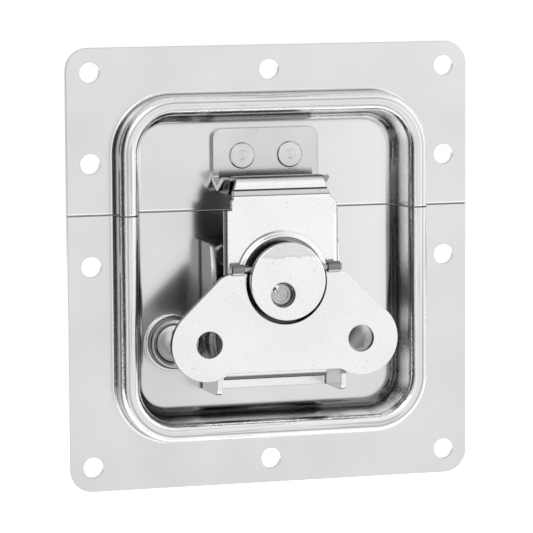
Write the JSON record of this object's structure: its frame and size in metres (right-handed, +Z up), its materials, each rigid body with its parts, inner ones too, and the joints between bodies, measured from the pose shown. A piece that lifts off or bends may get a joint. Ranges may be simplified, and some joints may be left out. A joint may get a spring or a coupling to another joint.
{
  "type": "butterfly latch",
  "caption": "Recessed butterfly latch: a pressed two-part dish with a keeper, a draw hook worked by a cam with a folding wing, and a key lock.",
  "frame": {"origin": "centre of the four corner rivet holes, on the back face of the dish's flange", "axes": "-Y out of the front, +Z up towards the keeper, +X to the viewer's right"},
  "size_m": [0.1016, 0.0362, 0.1072],
  "materials": {
    "dish_steel": "bright zinc plated pressed steel",
    "hook_steel": "bright zinc plated folded steel",
    "wing_steel": "bright plated steel",
    "rivet_steel": "plated steel rivet",
    "inner_steel": "plain steel",
    "lock_metal": "nickel plated"
  },
  "bodies": {
    "frame": {"upper_dish": "dish_steel", "lower_dish": "dish_steel", "keeper_plate": "hook_steel", "keeper_rivets": "rivet_steel", "base_bracket": "hook_steel", "bracket_rivets": "rivet_steel", "pivot_rivet": "rivet_steel", "friction_washer": "inner_steel", "lock_body": "lock_metal", "lock_nut": "inner_steel"},
    "hook": {"hook_plate": "hook_steel"},
    "cam": {"cam_drum": "inner_steel", "cam_disc": "wing_steel", "hinge_pin": "rivet_steel"},
    "wing": {"butterfly_wing": "wing_steel"},
    "plug": {"lock_plug": "lock_metal", "lock_tongue": "inner_steel", "lock_screw": "rivet_steel"}
  },
  "joints": [
    {"name": "cam_turn", "type": "hinge", "parent": "frame", "child": "cam", "pos_m": [-0.00135, 0, -0.0059], "axis": [0, -1, 0], "range_deg": [0, 180]},
    {"name": "hook_slide", "type": "slide", "parent": "frame", "child": "hook", "axis": [0, 0, 1], "range_m": [0, 0.0044]},
    {"name": "wing_fold", "type": "hinge", "parent": "cam", "child": "wing", "pos_m": [0, -0.01345, 0.00025], "axis": [-1, 0, 0], "range_deg": [0, 100]},
    {"name": "lock_turn", "type": "hinge", "parent": "frame", "child": "plug", "pos_m": [-0.0236, 0, -0.0186], "axis": [0, -1, 0], "range_deg": [0, 90]}
  ],
  "couplings": [
    {"joint": "hook_slide", "follows": "cam_turn", "m_per_rad": 0.0014006}
  ]
}
